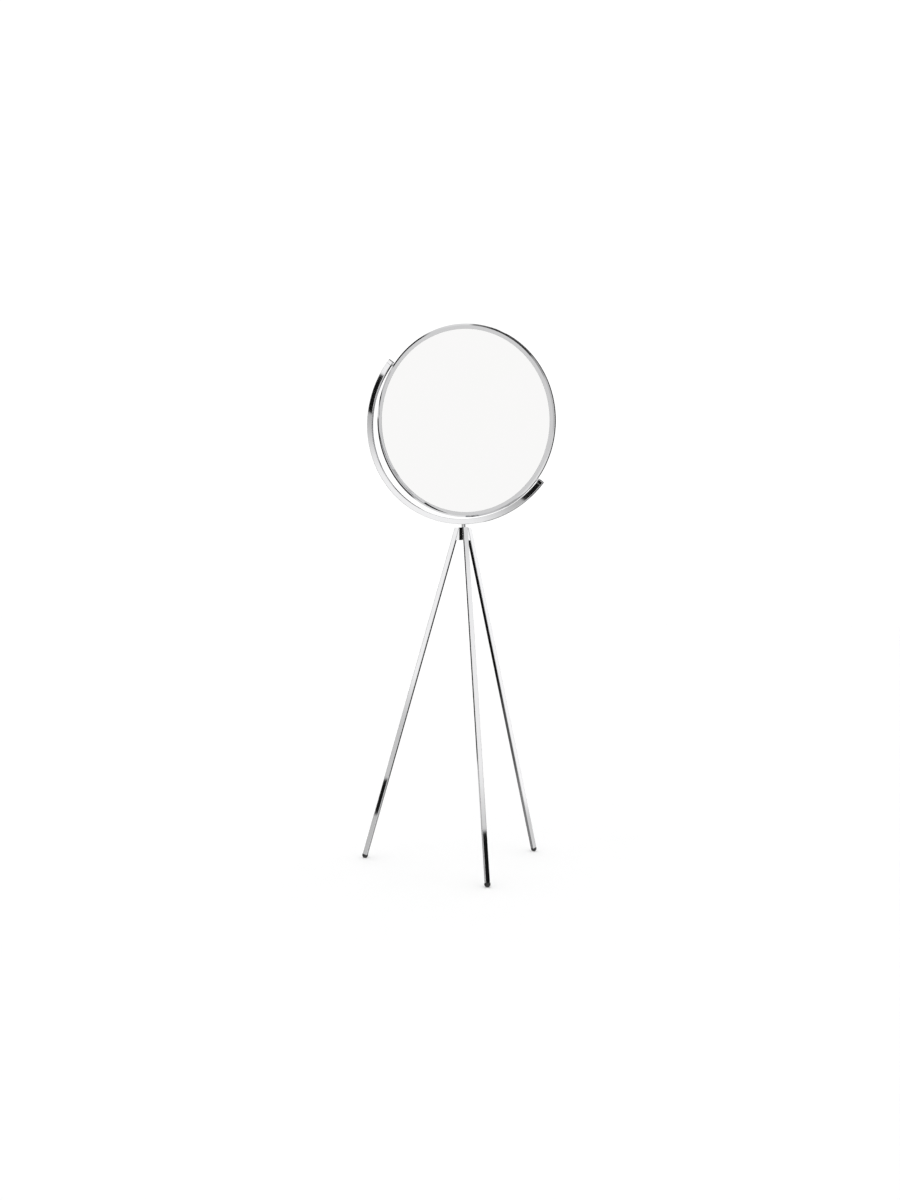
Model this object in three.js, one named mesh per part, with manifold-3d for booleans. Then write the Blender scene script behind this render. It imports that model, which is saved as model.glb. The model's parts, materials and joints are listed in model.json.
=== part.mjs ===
// Floor-standing round mirror on a chrome tripod, in millimetres, +Z up.
// A round mirror turns on a slanting axis between the ends of a half-ring yoke, and the yoke swivels
// on a short stem in the hub where three square legs meet. The mirror faces -Y, the yoke lies in the
// XZ plane at rest, and the side leg points to -X, in the plane of the yoke.

import * as THREE from 'three';
import { mergeVertices } from 'three/addons/utils/BufferGeometryUtils.js';
import Module from 'manifold-3d';

const wasm = await Module();
wasm.setup();

// ---------------------------------------------------------------- driving dimensions
const GAP = 0.3; // clearance between neighbouring pieces

const RIM_R = 347; // outside of the mirror's rim
const FACE_R = 328; // visible glass
const RIM_HALF_DEPTH = 7;
const RIM_WALL = 3;
const RIM_BEVEL = 6; // width of the bevel around the rim's front, across the radius
const RIM_BEVEL_SLOPE = THREE.MathUtils.degToRad(20);
const DISC_Z = 1604; // height of the mirror's centre
const DISC_TURN = THREE.MathUtils.degToRad(9.2); // mirror's turn about the pivot axis at rest

const YOKE_IN = 353.5; // inside radius of the half ring
const YOKE_OUT = 372.5;
const YOKE_WIDTH = 16; // square tube, front to back
const YOKE_WALL = 2;
const PIVOT_SLANT = THREE.MathUtils.degToRad(38.6); // pivot axis, below level towards +X
const END_BLOCK = 16; // length of the end pieces along the ring
const END_CHAMFER = 3; // along the front and back edges of the ring's two ends

const HUB_TOP = 1220;
const HUB_HEIGHT = 46;
const LEG_SIZE = 16; // square tube of the legs, and the side of the hub's hexagon
const LEG_WALL = 2;
const LEG_CORNER = 1.4;
const FOOT_CIRCLE_R = 378; // leg axis at the floor
const FOOT_R = 10.8;
const FOOT_HEIGHT = 14; // floor to tube end, along the leg
const DOME_CENTRE = 10; // centre of the foot's dome, along the leg

const NECK_R = 7; // the stem where it shows between hub and yoke
const SHAFT_R = 5;

const ROUND = 72; // sides of the large rounds
const SMALL_ROUND = 16;
const YOKE_STEPS = 48;

// ---------------------------------------------------------------- derived dimensions
const HUB_BOTTOM = HUB_TOP - HUB_HEIGHT;
const HEX_APOTHEM = (LEG_SIZE * Math.sqrt(3)) / 2;
const SEAT_STEP = 0.4; // the leg seats stand proud of the hexagon by this at the top
const SEAT_TOP_R = HEX_APOTHEM + SEAT_STEP;
const LEG_FACE_TOP_R = SEAT_TOP_R + GAP;
const LEG_TILT = solveLegTilt();
const LEG_LENGTH = HUB_TOP / Math.cos(LEG_TILT);
const YOKE_MID = (YOKE_IN + YOKE_OUT) / 2;
const YOKE_SECTION = YOKE_OUT - YOKE_IN;
const YOKE_BOTTOM = DISC_Z - YOKE_OUT;

// The tilt that carries a leg from its seat at the hub's top to the foot circle.
function solveLegTilt() {
  let tilt = 0.28;
  for (let step = 0; step < 20; step += 1) {
    const top = LEG_FACE_TOP_R + LEG_SIZE / 2 / Math.cos(tilt);
    tilt = Math.atan((FOOT_CIRCLE_R - top) / HUB_TOP);
  }
  return tilt;
}

// ---------------------------------------------------------------- finishes
const FINISHES = {
  chrome: { color: 0xd9dcdf, roughness: 0.06, metalness: 1 },
  mirror: { color: 0xf3f5f6, roughness: 0.02, metalness: 1 },
  rubber: { color: 0x121212, roughness: 0.75, metalness: 0 },
  steel: { color: 0xb4b8bc, roughness: 0.35, metalness: 1 },
  bronze: { color: 0xa37b45, roughness: 0.45, metalness: 1 },
  acetal: { color: 0xe6e4dc, roughness: 0.5, metalness: 0 },
  foam: { color: 0x2a2b2c, roughness: 0.9, metalness: 0 },
  board: { color: 0x7a5a3c, roughness: 0.85, metalness: 0 },
  sheet: { color: 0xc3c6c9, roughness: 0.3, metalness: 1 },
};

function add(parent, name, geometry, finish) {
  const mesh = new THREE.Mesh(geometry, new THREE.MeshStandardMaterial(FINISHES[finish]));
  mesh.name = name;
  parent.add(mesh);
  return mesh;
}

// ---------------------------------------------------------------- solids
// A closed geometry as a manifold solid with its faces outward.
function toSolid(geometry) {
  const bare = geometry.clone();
  bare.deleteAttribute('normal');
  bare.deleteAttribute('uv');
  const merged = mergeVertices(bare, 1e-4);
  const index = merged.index.array;
  const triangles = [];
  for (let i = 0; i < index.length; i += 3) {
    const [a, b, c] = [index[i], index[i + 1], index[i + 2]];
    if (a !== b && b !== c && c !== a) triangles.push(a, b, c);
  }
  const build = (verts) =>
    new wasm.Manifold(
      new wasm.Mesh({
        numProp: 3,
        vertProperties: Float32Array.from(merged.attributes.position.array),
        triVerts: Uint32Array.from(verts),
      }),
    );
  const solid = build(triangles);
  return solid.volume() > 0 ? solid : build(triangles.reverse());
}

function fromSolid(solid) {
  const mesh = solid.getMesh();
  const geometry = new THREE.BufferGeometry();
  geometry.setAttribute('position', new THREE.BufferAttribute(mesh.vertProperties, 3));
  geometry.setIndex(new THREE.BufferAttribute(mesh.triVerts, 1));
  geometry.computeVertexNormals();
  return geometry;
}

function join(...geometries) {
  return fromSolid(geometries.map(toSolid).reduce((all, next) => all.add(next)));
}

function cut(base, ...tools) {
  return fromSolid(tools.map(toSolid).reduce((left, tool) => left.subtract(tool), toSolid(base)));
}

// A box between two corners.
function box([x0, y0, z0], [x1, y1, z1]) {
  const geometry = new THREE.BoxGeometry(x1 - x0, y1 - y0, z1 - z0);
  return geometry.translate((x0 + x1) / 2, (y0 + y1) / 2, (z0 + z1) / 2);
}

// A round bar along an axis, from one station to another.
function bar(axis, radius, from, to, sides = SMALL_ROUND) {
  const geometry = new THREE.CylinderGeometry(radius, radius, to - from, sides);
  geometry.translate(0, (from + to) / 2, 0);
  if (axis === 'x') geometry.rotateZ(-Math.PI / 2);
  if (axis === 'z') geometry.rotateX(Math.PI / 2);
  return geometry;
}

// A solid of revolution about Y from [radius, station] pairs.
function turned(pairs, sides = SMALL_ROUND) {
  const points = pairs.map(([radius, station]) => new THREE.Vector2(radius, station));
  return fromSolid(toSolid(new THREE.LatheGeometry(points, sides)));
}

// The same, closed on itself away from the axis.
function turnedRing(pairs, sides = SMALL_ROUND) {
  return turned([...pairs, pairs[0]], sides);
}

// The same about Z or X.
function turnedAbout(axis, pairs, sides = SMALL_ROUND) {
  const geometry = turned(pairs, sides);
  return axis === 'z' ? geometry.rotateX(Math.PI / 2) : geometry.rotateZ(-Math.PI / 2);
}

// A washer, bush or other plain ring along an axis.
function tubeRing(axis, inner, outer, from, to, sides = SMALL_ROUND) {
  const pairs = [
    [inner, from],
    [outer, from],
    [outer, to],
    [inner, to],
  ];
  const ring = turnedRing(pairs, sides);
  if (axis === 'x') ring.rotateZ(-Math.PI / 2);
  if (axis === 'z') ring.rotateX(Math.PI / 2);
  return ring;
}

// A rectangle with rounded corners, centred, with a plain rectangular hole if a wall is given.
function tubeSection(width, height, corner, wall = 0) {
  const [x, y] = [width / 2, height / 2];
  const shape = new THREE.Shape();
  shape.moveTo(-x + corner, -y);
  shape.lineTo(x - corner, -y);
  shape.absarc(x - corner, -y + corner, corner, -Math.PI / 2, 0);
  shape.lineTo(x, y - corner);
  shape.absarc(x - corner, y - corner, corner, 0, Math.PI / 2);
  shape.lineTo(-x + corner, y);
  shape.absarc(-x + corner, y - corner, corner, Math.PI / 2, Math.PI);
  shape.lineTo(-x, -y + corner);
  shape.absarc(-x + corner, -y + corner, corner, Math.PI, 1.5 * Math.PI);
  if (wall > 0) {
    const hole = new THREE.Path();
    hole.moveTo(-x + wall, -y + wall);
    hole.lineTo(-x + wall, y - wall);
    hole.lineTo(x - wall, y - wall);
    hole.lineTo(x - wall, -y + wall);
    hole.closePath();
    shape.holes.push(hole);
  }
  return shape;
}

// ---------------------------------------------------------------- tripod
// Each leg is drawn in its own frame: X outward from the stem's axis, Z up. Along the leg, stations
// are measured from the floor, on the leg's axis.
function placeOnLeg(geometry) {
  return geometry.rotateY(-LEG_TILT).translate(FOOT_CIRCLE_R, 0, 0);
}

const SEAT_DOWELS = [LEG_LENGTH - 16, LEG_LENGTH - 36]; // stations of the two dowels in each seat
const DOWEL_R = 2.5;
const DOWEL_IN_HUB = 7;
const DOWEL_IN_LEG = 9;
const INSERT_SIZE = LEG_SIZE - 2 * LEG_WALL - 2 * GAP;
const INSERT_LENGTH = 60;
const TOP_TRIM = 30; // the leg's overlength that is trimmed level with the hub's top

function dowelAt(station, radius, extra) {
  const from = -LEG_SIZE / 2 - DOWEL_IN_HUB - extra;
  const to = -LEG_SIZE / 2 + DOWEL_IN_LEG + extra;
  return placeOnLeg(bar('x', radius, from, to).translate(0, 0, station));
}

const dowelHoles = () => SEAT_DOWELS.map((station) => dowelAt(station, DOWEL_R + GAP, GAP));
const aboveHub = () => box([-60, -40, HUB_TOP], [60, 40, HUB_TOP + 80]);

function legTube() {
  const section = tubeSection(LEG_SIZE, LEG_SIZE, LEG_CORNER, LEG_WALL);
  const depth = LEG_LENGTH + TOP_TRIM - FOOT_HEIGHT;
  const tube = new THREE.ExtrudeGeometry(section, { depth, bevelEnabled: false, curveSegments: 1 });
  return cut(placeOnLeg(tube.translate(0, 0, FOOT_HEIGHT)), aboveHub(), ...dowelHoles());
}

function legInsert() {
  const half = INSERT_SIZE / 2;
  const from = LEG_LENGTH - INSERT_LENGTH;
  const block = box([-half, -half, from], [half, half, LEG_LENGTH + TOP_TRIM]);
  return cut(placeOnLeg(block), aboveHub(), ...dowelHoles());
}

// A rubber dome with a square plug, flat where it meets the floor.
function foot() {
  const arcSteps = 6;
  const profile = [];
  for (let step = 0; step <= arcSteps; step += 1) {
    const angle = (step / arcSteps) * (Math.PI / 2);
    profile.push([FOOT_R * Math.sin(angle), DOME_CENTRE - FOOT_R * Math.cos(angle)]);
  }
  profile.push([FOOT_R, FOOT_HEIGHT - GAP - 0.8]);
  profile.push([FOOT_R - 0.8, FOOT_HEIGHT - GAP]);
  profile.push([0, FOOT_HEIGHT - GAP]);
  const half = INSERT_SIZE / 2;
  const dome = turnedAbout('z', profile);
  const plug = box([-half, -half, FOOT_HEIGHT - 2], [half, half, FOOT_HEIGHT + 18]);
  const belowFloor = box([300, -40, -20], [420, 40, 0]);
  return cut(placeOnLeg(join(dome, plug)), belowFloor);
}

// The hub: a hexagonal block with three inclined leg seats and a stepped bore for the stem.
const BORE_R = 7.4;
const POCKET_R = 10;
const POCKET_TOP = HUB_BOTTOM + 15;
const RECESS_R = 7.8;
const RECESS_DEPTH = 1.8;

function hub() {
  const hexagon = new THREE.CylinderGeometry(LEG_SIZE, LEG_SIZE, HUB_HEIGHT, 6);
  hexagon.rotateX(Math.PI / 2).translate(0, 0, HUB_TOP - HUB_HEIGHT / 2);
  const seatRun = HUB_HEIGHT * Math.tan(LEG_TILT);
  const wedge = new THREE.Shape();
  wedge.moveTo(HEX_APOTHEM - 3, HUB_BOTTOM);
  wedge.lineTo(SEAT_TOP_R + seatRun, HUB_BOTTOM);
  wedge.lineTo(SEAT_TOP_R, HUB_TOP);
  wedge.lineTo(HEX_APOTHEM - 3, HUB_TOP);
  wedge.closePath();
  const seat = new THREE.ExtrudeGeometry(wedge, { depth: LEG_SIZE, bevelEnabled: false });
  seat.rotateX(Math.PI / 2).translate(0, LEG_SIZE / 2, 0);
  const turns = Object.values(LEG_TURNS);
  const body = join(hexagon, ...turns.map((turn) => seat.clone().rotateZ(turn)));
  const holes = turns.flatMap((turn) => dowelHoles().map((hole) => hole.rotateZ(turn)));
  return cut(
    body,
    bar('z', BORE_R, HUB_BOTTOM - 1, HUB_TOP + 1),
    bar('z', POCKET_R, HUB_BOTTOM - 1, POCKET_TOP),
    bar('z', RECESS_R, HUB_TOP - RECESS_DEPTH, HUB_TOP + 1),
    ...holes,
  );
}

const LEG_TURNS = { side: Math.PI, front: -Math.PI / 3, rear: Math.PI / 3 };

function buildTripod() {
  const tripod = new THREE.Group();
  add(tripod, 'hub_block', hub(), 'chrome');
  for (const [side, turn] of Object.entries(LEG_TURNS)) {
    const leg = new THREE.Group();
    leg.rotation.z = turn;
    tripod.add(leg);
    add(leg, `leg_${side}`, legTube(), 'chrome');
    add(leg, `leg_${side}_insert`, legInsert(), 'steel');
    SEAT_DOWELS.forEach((station, i) => {
      const level = i === 0 ? 'upper' : 'lower';
      add(leg, `leg_${side}_dowel_${level}`, dowelAt(station, DOWEL_R, 0), 'steel');
    });
    add(leg, `foot_${side}`, foot(), 'rubber');
  }
  const bushOuter = BORE_R - GAP;
  const bushInner = SHAFT_R + GAP;
  add(tripod, 'stem_bush_upper', tubeRing('z', bushInner, bushOuter, HUB_TOP - 14, HUB_TOP - 2.2), 'bronze');
  const lowerBush = tubeRing('z', bushInner, bushOuter, POCKET_TOP + GAP, POCKET_TOP + 12);
  add(tripod, 'stem_bush_lower', lowerBush, 'bronze');
  add(tripod, 'thrust_washer', tubeRing('z', bushInner, RECESS_R - GAP, HUB_TOP - 1.5, HUB_TOP), 'acetal');
  add(tripod, 'hub_plug', bar('z', POCKET_R - GAP, HUB_BOTTOM, HUB_BOTTOM + 2), 'acetal');
  return tripod;
}

// ---------------------------------------------------------------- yoke
const SPIGOT_LENGTH = 12;
const PIN_BORE_R = 5.8;
const CAP_BORE_R = 6.3;
const CAP_SEAT = YOKE_OUT - 6;
const STEM_SPIGOT_R = 4;

// Square tube bent to a half circle, cut short of the end blocks, with the stem's hole at the bottom.
function yokeArc() {
  const trim = (END_BLOCK / 2 + GAP) / YOKE_MID;
  class HalfCircle extends THREE.Curve {
    getPoint(t, target = new THREE.Vector3()) {
      const angle = Math.PI + trim + t * (Math.PI - 2 * trim);
      return target.set(YOKE_MID * Math.cos(angle), 0, YOKE_MID * Math.sin(angle));
    }
  }
  const section = tubeSection(YOKE_WIDTH, YOKE_SECTION, LEG_CORNER, YOKE_WALL);
  const path = new HalfCircle();
  const arc = new THREE.ExtrudeGeometry(section, { steps: YOKE_STEPS, extrudePath: path, curveSegments: 1 });
  arc.rotateY(PIVOT_SLANT);
  const hole = bar('z', STEM_SPIGOT_R + GAP, -YOKE_OUT - 1, -YOKE_OUT + 2 * YOKE_WALL);
  return cut(arc, hole);
}

// An end block in the pivot frame: X along the pivot axis, outward, and the ring's tube towards -Z.
function endBlock() {
  const half = END_BLOCK / 2;
  const wide = YOKE_WIDTH / 2;
  const spigotWide = wide - YOKE_WALL - GAP;
  const spigotTall = YOKE_SECTION / 2 - YOKE_WALL - 3 * GAP; // room for the ring's curve
  const body = box([YOKE_IN, -wide, -half], [YOKE_OUT, wide, half]);
  const corner = END_CHAMFER / Math.SQRT2;
  const edges = [-wide, wide].map((y) => {
    const edge = box([YOKE_IN - 1, -corner, -corner], [YOKE_OUT + 1, corner, corner]);
    return edge.rotateX(Math.PI / 4).translate(0, y, half);
  });
  const low = [YOKE_MID - spigotTall, -spigotWide, -half - SPIGOT_LENGTH];
  const spigot = box(low, [YOKE_MID + spigotTall, spigotWide, -half + 1]);
  return cut(
    join(body, spigot),
    ...edges,
    bar('x', PIN_BORE_R, YOKE_IN - 1, YOKE_OUT + 1),
    bar('x', CAP_BORE_R, CAP_SEAT, YOKE_OUT + 1),
  );
}

const SPRING_TOP = POCKET_TOP - GAP;
const NUT_TOP = SPRING_TOP - 2.5;
const NUT_HEIGHT = 6;
const THREAD_R = 4;

// The stem: neck between hub and yoke, shaft in the bushes, thread for the nut, spigot in the yoke.
function stem() {
  return turnedAbout('z', [
    [0, NUT_TOP - NUT_HEIGHT - 2],
    [THREAD_R, NUT_TOP - NUT_HEIGHT - 2],
    [THREAD_R, POCKET_TOP],
    [SHAFT_R, POCKET_TOP],
    [SHAFT_R, HUB_TOP + GAP],
    [NECK_R, HUB_TOP + GAP],
    [NECK_R, YOKE_BOTTOM - GAP],
    [STEM_SPIGOT_R, YOKE_BOTTOM - GAP],
    [STEM_SPIGOT_R, YOKE_BOTTOM + YOKE_WALL + 2],
    [0, YOKE_BOTTOM + YOKE_WALL + 2],
  ]);
}

function buildYoke() {
  const yoke = new THREE.Group();
  add(yoke, 'yoke_arc', yokeArc(), 'chrome').position.z = DISC_Z;
  add(yoke, 'stem', stem(), 'chrome');
  add(yoke, 'spring_washer', tubeRing('z', THREAD_R + GAP, 8.5, NUT_TOP + GAP, SPRING_TOP), 'steel');
  const nutCorner = 6.5 / Math.cos(Math.PI / 6);
  const nutBody = bar('z', nutCorner, NUT_TOP - NUT_HEIGHT, NUT_TOP, 6);
  const nut = cut(nutBody, bar('z', THREAD_R + GAP, 0, HUB_TOP));
  add(yoke, 'stem_nut', nut, 'steel');

  const pivotFrame = new THREE.Group();
  pivotFrame.position.z = DISC_Z;
  pivotFrame.rotation.y = PIVOT_SLANT;
  yoke.add(pivotFrame);
  for (const [end, turn] of Object.entries(PIVOT_ENDS)) {
    const side = new THREE.Group();
    side.rotation.z = turn;
    pivotFrame.add(side);
    add(side, `end_block_${end}`, endBlock(), 'chrome');
    const bush = tubeRing('x', PIN_R + GAP, PIN_BORE_R - GAP, YOKE_IN + GAP, CAP_SEAT - GAP);
    add(side, `pivot_bush_${end}`, bush, 'acetal');
    const cap = bar('x', CAP_BORE_R - GAP, YOKE_OUT - 2.5, YOKE_OUT - 0.2);
    add(side, `end_cap_${end}`, cap, 'chrome');
  }
  return yoke;
}

const PIVOT_ENDS = { lower: 0, upper: Math.PI };

// ---------------------------------------------------------------- mirror
// Drawn in the pivot frame: X along the pivot axis, -Y the side that reflects.
const PIN_R = 4;
const PIN_HEAD_R = 6;
const PIN_INNER = 332;
const CLIP_FROM = CAP_SEAT + 0.8;
const CLIP_THICK = 1;
const LEDGE_INNER_R = 316;
const LEDGE_HALF = 1;
const GLASS_R = FACE_R - 0.1;
const GLASS_FRONT = -6.3;
const GLASS_THICK = 4;
const COVER_R = RIM_R - RIM_WALL - 0.5;
const COVER_INNER = 5;
const COVER_THICK = 1.4;
const SCREW_CIRCLE_R = 337.5;
const SCREW_COUNT = 6;
const SCREW_R = 1.5;

// The angle of a cover screw, clear of the pivot axis.
const screwTurn = (i) => ((i + 0.5) * 2 * Math.PI) / SCREW_COUNT;

// The rim: a pressed channel with a flat, bevelled front, a glass ledge, pin bosses and screw posts.
function rim() {
  const lipInner = FACE_R + 0.3;
  const lipStem = FACE_R + 3.5;
  const inside = RIM_R - RIM_WALL;
  const bevelDrop = RIM_BEVEL * Math.tan(RIM_BEVEL_SLOPE);
  const profile = [
    [lipInner, -RIM_HALF_DEPTH],
    [RIM_R - RIM_BEVEL, -RIM_HALF_DEPTH],
    [RIM_R, -RIM_HALF_DEPTH + bevelDrop],
    [RIM_R, RIM_HALF_DEPTH - 1],
    [RIM_R - 0.3, RIM_HALF_DEPTH - 0.3],
    [RIM_R - 1, RIM_HALF_DEPTH],
    [inside, RIM_HALF_DEPTH],
    [inside, -RIM_HALF_DEPTH + 3 + bevelDrop / 2],
    [RIM_R - RIM_BEVEL - 0.5, -RIM_HALF_DEPTH + 3],
    [lipStem, -RIM_HALF_DEPTH + 3],
    [lipStem, LEDGE_HALF],
    [LEDGE_INNER_R, LEDGE_HALF],
    [LEDGE_INNER_R, -LEDGE_HALF],
    [lipInner, -LEDGE_HALF],
  ];
  const channel = turnedRing(profile, ROUND);
  const bossLow = [lipStem - 1, -RIM_HALF_DEPTH + 2, -9];
  const bossHigh = [inside + 1, COVER_INNER - GAP, 9];
  const turns = Object.values(PIVOT_ENDS);
  const bosses = turns.map((turn) => box(bossLow, bossHigh).rotateY(turn));
  const pinHoles = turns.map((turn) => bar('x', PIN_R + GAP, PIN_INNER - GAP, RIM_R + 2).rotateY(turn));
  const posts = [];
  const pilots = [];
  for (let i = 0; i < SCREW_COUNT; i += 1) {
    const post = bar('y', 4, -RIM_HALF_DEPTH + 2, COVER_INNER - GAP, 12).translate(SCREW_CIRCLE_R, 0, 0);
    const pilot = bar('y', SCREW_R + GAP, -2, RIM_HALF_DEPTH, 12).translate(SCREW_CIRCLE_R, 0, 0);
    posts.push(post.rotateY(screwTurn(i)));
    pilots.push(pilot.rotateY(screwTurn(i)));
  }
  return cut(join(channel, ...bosses, ...posts), ...pinHoles, ...pilots);
}

// The glass, with a narrow ground bevel at its front edge.
function glass() {
  return turned(
    [
      [0, GLASS_FRONT],
      [GLASS_R - 1, GLASS_FRONT],
      [GLASS_R, GLASS_FRONT + 0.6],
      [GLASS_R, GLASS_FRONT + GLASS_THICK],
      [0, GLASS_FRONT + GLASS_THICK],
    ],
    ROUND,
  );
}

// The back cover: a sheet with a raised panel, drilled for its screws.
function backCover() {
  const [flangeR, panelR, rise] = [318, 300, 3.5];
  const outer = COVER_INNER + COVER_THICK;
  const sheet = turned(
    [
      [0, COVER_INNER + rise],
      [panelR - 0.6, COVER_INNER + rise],
      [flangeR - 0.6, COVER_INNER],
      [COVER_R, COVER_INNER],
      [COVER_R, outer],
      [flangeR, outer],
      [panelR, outer + rise],
      [0, outer + rise],
    ],
    ROUND,
  );
  const holes = [];
  for (let i = 0; i < SCREW_COUNT; i += 1) {
    const hole = bar('y', SCREW_R + GAP, 0, 20, 12).translate(SCREW_CIRCLE_R, 0, 0);
    holes.push(hole.rotateY(screwTurn(i)));
  }
  return cut(sheet, ...holes);
}

// A pan-head cover screw on the screw circle, at the first screw's place before it is turned.
function coverScrew() {
  const seat = COVER_INNER + COVER_THICK + GAP;
  const pairs = [
    [0, -1],
    [SCREW_R, -1],
    [SCREW_R, seat],
    [3.1, seat],
    [3.1, seat + 1],
    [2.2, seat + 1.8],
    [0, seat + 1.8],
  ];
  return turned(pairs, 12).translate(SCREW_CIRCLE_R, 0, 0);
}

// A pivot pin: threaded into the rim, a collar across the gap, and a journal in the end block's bush.
function pivotPin() {
  return turnedAbout('x', [
    [0, PIN_INNER],
    [PIN_R, PIN_INNER],
    [PIN_R, RIM_R + GAP],
    [PIN_HEAD_R, RIM_R + GAP],
    [PIN_HEAD_R, YOKE_IN - GAP],
    [PIN_R, YOKE_IN - GAP],
    [PIN_R, CLIP_FROM - GAP],
    [PIN_R - 1, CLIP_FROM - GAP],
    [PIN_R - 1, CLIP_FROM + CLIP_THICK + GAP],
    [PIN_R - 0.4, CLIP_FROM + CLIP_THICK + GAP],
    [PIN_R - 0.4, YOKE_OUT - 3],
    [0, YOKE_OUT - 3],
  ]);
}

function buildMirror() {
  const pivotFrame = new THREE.Group();
  pivotFrame.position.z = DISC_Z;
  pivotFrame.rotation.y = PIVOT_SLANT;
  const mirror = new THREE.Group();
  mirror.rotation.x = DISC_TURN;
  pivotFrame.add(mirror);

  const glassBack = GLASS_FRONT + GLASS_THICK;
  add(mirror, 'rim_ring', rim(), 'chrome');
  add(mirror, 'mirror_glass', glass(), 'mirror');
  const gasket = tubeRing('y', LEDGE_INNER_R + 1.5, GLASS_R, glassBack + GAP, -LEDGE_HALF - GAP, ROUND);
  add(mirror, 'glass_gasket', gasket, 'foam');
  const board = bar('y', LEDGE_INNER_R - 0.5, glassBack + GAP, LEDGE_HALF + 0.5, ROUND);
  add(mirror, 'backing_board', board, 'board');
  add(mirror, 'back_cover', backCover(), 'sheet');
  for (let i = 0; i < SCREW_COUNT; i += 1) {
    add(mirror, `cover_screw_${i + 1}`, coverScrew().rotateY(screwTurn(i)), 'steel');
  }
  for (const [end, turn] of Object.entries(PIVOT_ENDS)) {
    add(mirror, `pivot_pin_${end}`, pivotPin().rotateY(turn), 'chrome');
    const clip = tubeRing('x', PIN_R - 1 + 0.2, PIN_R + 1.5, CLIP_FROM, CLIP_FROM + CLIP_THICK);
    add(mirror, `pin_clip_${end}`, clip.rotateY(turn), 'steel');
  }
  return pivotFrame;
}

// ---------------------------------------------------------------- whole object
const group = new THREE.Group();
group.add(buildTripod(), buildYoke(), buildMirror());

// The origin is at the floor, under the middle of the whole object's outline.
group.updateMatrixWorld(true);
const outline = new THREE.Box3().setFromObject(group, true);
group.position.x = -(outline.min.x + outline.max.x) / 2;
group.position.y = -(outline.min.y + outline.max.y) / 2;

export default group;
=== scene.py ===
"""Looks of a floor-standing round mirror on a chrome tripod.

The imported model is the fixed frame. Every visible piece is rebuilt here as a smooth surface in the
place that the frame gives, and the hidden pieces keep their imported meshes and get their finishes.
All lengths are in metres unless a name says millimetres.
"""

import json
import logging
import math
from dataclasses import dataclass, field
from enum import Enum

import bmesh
import bpy
import numpy as np
from mathutils import Matrix


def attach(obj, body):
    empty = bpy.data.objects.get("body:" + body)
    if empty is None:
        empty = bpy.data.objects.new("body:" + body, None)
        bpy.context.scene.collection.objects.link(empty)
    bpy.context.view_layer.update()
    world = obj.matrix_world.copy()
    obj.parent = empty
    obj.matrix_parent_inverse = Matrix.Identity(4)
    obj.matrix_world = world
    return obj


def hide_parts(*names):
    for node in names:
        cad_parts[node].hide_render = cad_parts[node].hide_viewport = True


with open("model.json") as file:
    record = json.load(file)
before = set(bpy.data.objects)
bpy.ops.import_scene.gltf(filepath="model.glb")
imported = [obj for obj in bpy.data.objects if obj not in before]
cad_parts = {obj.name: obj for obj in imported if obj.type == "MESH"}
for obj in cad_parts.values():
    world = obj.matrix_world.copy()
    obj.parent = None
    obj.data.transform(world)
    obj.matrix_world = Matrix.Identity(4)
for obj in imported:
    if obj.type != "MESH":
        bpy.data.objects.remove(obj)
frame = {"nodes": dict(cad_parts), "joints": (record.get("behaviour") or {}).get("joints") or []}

logging.basicConfig(level=logging.INFO, format="%(message)s")
log = logging.getLogger("tripod_mirror")

MM = 0.001
GAP = 0.3 * MM
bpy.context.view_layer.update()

HUB_TOP = 1220 * MM
TUBE = 16 * MM
TUBE_WALL = 2 * MM
YOKE_INSIDE = 353.5 * MM
YOKE_OUTSIDE = 372.5 * MM
CAP_DEPTH = 6 * MM


# ---------------------------------------------------------------------------- choices
class End(Enum):
    """The two ends of the half-ring yoke, by the sign of their side of the pivot axis."""

    LOWER = 1
    UPPER = -1

    @property
    def label(self) -> str:
        """The word that the end's nodes carry in their names."""
        return self.name.lower()


class Leg(Enum):
    """The three legs, by their direction in degrees from +X."""

    SIDE = 180
    FRONT = -60
    REAR = 60

    @property
    def label(self) -> str:
        """The word that the leg's nodes carry in their names."""
        return self.name.lower()


class Body(Enum):
    """The bodies that pieces ride on."""

    TRIPOD = "tripod"
    YOKE = "yoke"
    MIRROR = "mirror"


# ---------------------------------------------------------------------------- placement
@dataclass(frozen=True)
class Place:
    """An origin and three axes that carry local coordinates to the frame's."""

    origin: np.ndarray
    axes: np.ndarray

    def carry(self, points: np.ndarray) -> np.ndarray:
        """Turns local points (..., 3) into frame points: origin plus each coordinate along its axis.

        Args:
            points: local coordinates, last dimension 3.

        Returns:
            The same points in the frame.
        """
        return points @ self.axes + self.origin

    def turned(self, axis: int, angle: float) -> "Place":
        """This place turned about one of its own axes.

        Args:
            axis: 0, 1 or 2, the local axis.
            angle: radians, by the right-hand rule.

        Returns:
            The turned place.
        """
        one, two = (axis + 1) % 3, (axis + 2) % 3
        turn = np.eye(3)
        turn[one, one] = turn[two, two] = math.cos(angle)
        turn[one, two] = math.sin(angle)
        turn[two, one] = -math.sin(angle)
        return Place(self.origin, turn @ self.axes)

    def along(self, axis: int) -> "Place":
        """This place with its axes cycled, so that the given axis comes third."""
        return Place(self.origin, np.roll(self.axes, 2 - axis, axis=0))


def joint(name: str) -> dict:
    """The frame's joint of that name."""
    return next(j for j in frame["joints"] if j["name"] == name)


STEM = Place(np.array([joint("yoke_swivel")["pos_m"][0], 0.0, 0.0]), np.eye(3))


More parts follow.
